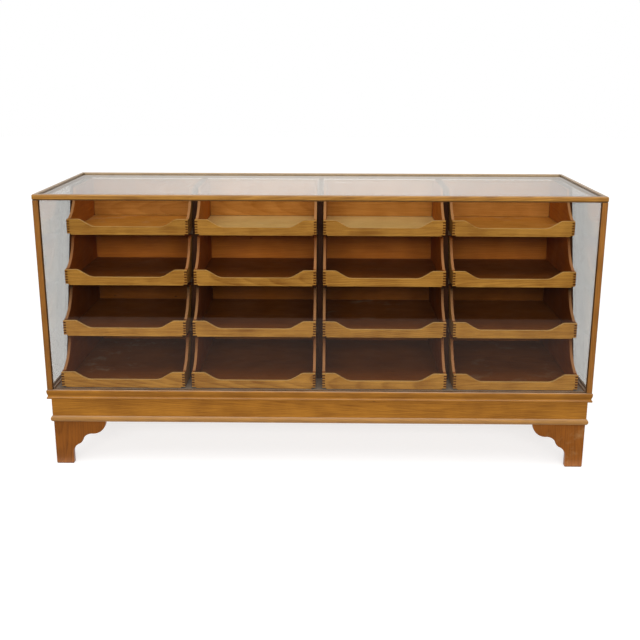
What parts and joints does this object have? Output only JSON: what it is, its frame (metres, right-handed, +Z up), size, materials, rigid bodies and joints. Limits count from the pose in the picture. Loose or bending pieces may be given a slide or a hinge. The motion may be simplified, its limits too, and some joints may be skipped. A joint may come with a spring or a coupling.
{
  "type": "haberdashery cabinet",
  "caption": "Glazed oak shop counter on bracket feet, with open-fronted scooped drawers in stepped rows that slide out at the back.",
  "frame": {"origin": "on the ground at the middle of the footprint", "axes": "+Z up, -Y towards the glazed customer's side, +Y the side where the drawers run out, +X to the right seen from the customer's side"},
  "size_m": [1.834, 0.622, 0.93],
  "materials": {
    "frame_oak": "satin varnished honey oak",
    "plinth_oak": "satin varnished oak, a little darker",
    "foot_oak": "satin varnished oak, reddish",
    "clear_glass": "clear plate glass, polished edges",
    "panel_wood": "dark stained, unpolished",
    "runner_beech": "bare wood rubbed with wax",
    "drawer_oak": "satin varnished honey oak",
    "knob_oak": "turned oak, handled to a low sheen",
    "screw_steel": "plain slotted, dull"
  },
  "bodies": {
    "case": {"glass_front": "clear_glass", "glass_left": "clear_glass", "glass_right": "clear_glass", "glass_top": "clear_glass", "post_front_left": "frame_oak", "post_front_right": "frame_oak", "post_rear_left": "frame_oak", "post_rear_right": "frame_oak", "rail_front": "frame_oak", "rail_back": "frame_oak", "rail_left": "frame_oak", "rail_right": "frame_oak", "base_moulding": "plinth_oak", "plinth_bead": "plinth_oak", "plinth_front_board": "plinth_oak", "plinth_back_board": "plinth_oak", "plinth_cross_boards": "plinth_oak", "foot_front_left": "foot_oak", "foot_front_right": "foot_oak", "foot_rear_left": "foot_oak", "foot_rear_right": "foot_oak", "drawer_runners": "runner_beech", "runner_screws": "screw_steel", "end_panels": "panel_wood", "partition_1": "panel_wood", "partition_2": "panel_wood", "partition_3": "panel_wood", "base_board": "panel_wood"},
    "drawer_r1_c1": {"drawer_r1_c1_box": "drawer_oak", "drawer_r1_c1_knob": "knob_oak"},
    "drawer_r1_c2": {"drawer_r1_c2_box": "drawer_oak", "drawer_r1_c2_knob": "knob_oak"},
    "drawer_r1_c3": {"drawer_r1_c3_box": "drawer_oak", "drawer_r1_c3_knob": "knob_oak"},
    "drawer_r1_c4": {"drawer_r1_c4_box": "drawer_oak", "drawer_r1_c4_knob": "knob_oak"},
    "drawer_r2_c1": {"drawer_r2_c1_box": "drawer_oak", "drawer_r2_c1_knob": "knob_oak"},
    "drawer_r2_c2": {"drawer_r2_c2_box": "drawer_oak", "drawer_r2_c2_knob": "knob_oak"},
    "drawer_r2_c3": {"drawer_r2_c3_box": "drawer_oak", "drawer_r2_c3_knob": "knob_oak"},
    "drawer_r2_c4": {"drawer_r2_c4_box": "drawer_oak", "drawer_r2_c4_knob": "knob_oak"},
    "drawer_r3_c1": {"drawer_r3_c1_box": "drawer_oak", "drawer_r3_c1_knob": "knob_oak"},
    "drawer_r3_c2": {"drawer_r3_c2_box": "drawer_oak", "drawer_r3_c2_knob": "knob_oak"},
    "drawer_r3_c3": {"drawer_r3_c3_box": "drawer_oak", "drawer_r3_c3_knob": "knob_oak"},
    "drawer_r3_c4": {"drawer_r3_c4_box": "drawer_oak", "drawer_r3_c4_knob": "knob_oak"},
    "drawer_r4_c1": {"drawer_r4_c1_box": "drawer_oak", "drawer_r4_c1_knob": "knob_oak"},
    "drawer_r4_c2": {"drawer_r4_c2_box": "drawer_oak", "drawer_r4_c2_knob": "knob_oak"},
    "drawer_r4_c3": {"drawer_r4_c3_box": "drawer_oak", "drawer_r4_c3_knob": "knob_oak"},
    "drawer_r4_c4": {"drawer_r4_c4_box": "drawer_oak", "drawer_r4_c4_knob": "knob_oak"}
  },
  "joints": [
    {"name": "drawer_r1_c1_slide", "type": "slide", "parent": "case", "child": "drawer_r1_c1", "axis": [0, 1, 0], "range_m": [0, 0.248]},
    {"name": "drawer_r1_c2_slide", "type": "slide", "parent": "case", "child": "drawer_r1_c2", "axis": [0, 1, 0], "range_m": [0, 0.248]},
    {"name": "drawer_r1_c3_slide", "type": "slide", "parent": "case", "child": "drawer_r1_c3", "axis": [0, 1, 0], "range_m": [0, 0.248]},
    {"name": "drawer_r1_c4_slide", "type": "slide", "parent": "case", "child": "drawer_r1_c4", "axis": [0, 1, 0], "range_m": [0, 0.248]},
    {"name": "drawer_r2_c1_slide", "type": "slide", "parent": "case", "child": "drawer_r2_c1", "axis": [0, 1, 0], "range_m": [0, 0.31]},
    {"name": "drawer_r2_c2_slide", "type": "slide", "parent": "case", "child": "drawer_r2_c2", "axis": [0, 1, 0], "range_m": [0, 0.31]},
    {"name": "drawer_r2_c3_slide", "type": "slide", "parent": "case", "child": "drawer_r2_c3", "axis": [0, 1, 0], "range_m": [0, 0.31]},
    {"name": "drawer_r2_c4_slide", "type": "slide", "parent": "case", "child": "drawer_r2_c4", "axis": [0, 1, 0], "range_m": [0, 0.31]},
    {"name": "drawer_r3_c1_slide", "type": "slide", "parent": "case", "child": "drawer_r3_c1", "axis": [0, 1, 0], "range_m": [0, 0.372]},
    {"name": "drawer_r3_c2_slide", "type": "slide", "parent": "case", "child": "drawer_r3_c2", "axis": [0, 1, 0], "range_m": [0, 0.372]},
    {"name": "drawer_r3_c3_slide", "type": "slide", "parent": "case", "child": "drawer_r3_c3", "axis": [0, 1, 0], "range_m": [0, 0.372]},
    {"name": "drawer_r3_c4_slide", "type": "slide", "parent": "case", "child": "drawer_r3_c4", "axis": [0, 1, 0], "range_m": [0, 0.372]},
    {"name": "drawer_r4_c1_slide", "type": "slide", "parent": "case", "child": "drawer_r4_c1", "axis": [0, 1, 0], "range_m": [0, 0.434]},
    {"name": "drawer_r4_c2_slide", "type": "slide", "parent": "case", "child": "drawer_r4_c2", "axis": [0, 1, 0], "range_m": [0, 0.434]},
    {"name": "drawer_r4_c3_slide", "type": "slide", "parent": "case", "child": "drawer_r4_c3", "axis": [0, 1, 0], "range_m": [0, 0.434]},
    {"name": "drawer_r4_c4_slide", "type": "slide", "parent": "case", "child": "drawer_r4_c4", "axis": [0, 1, 0], "range_m": [0, 0.434]}
  ]
}
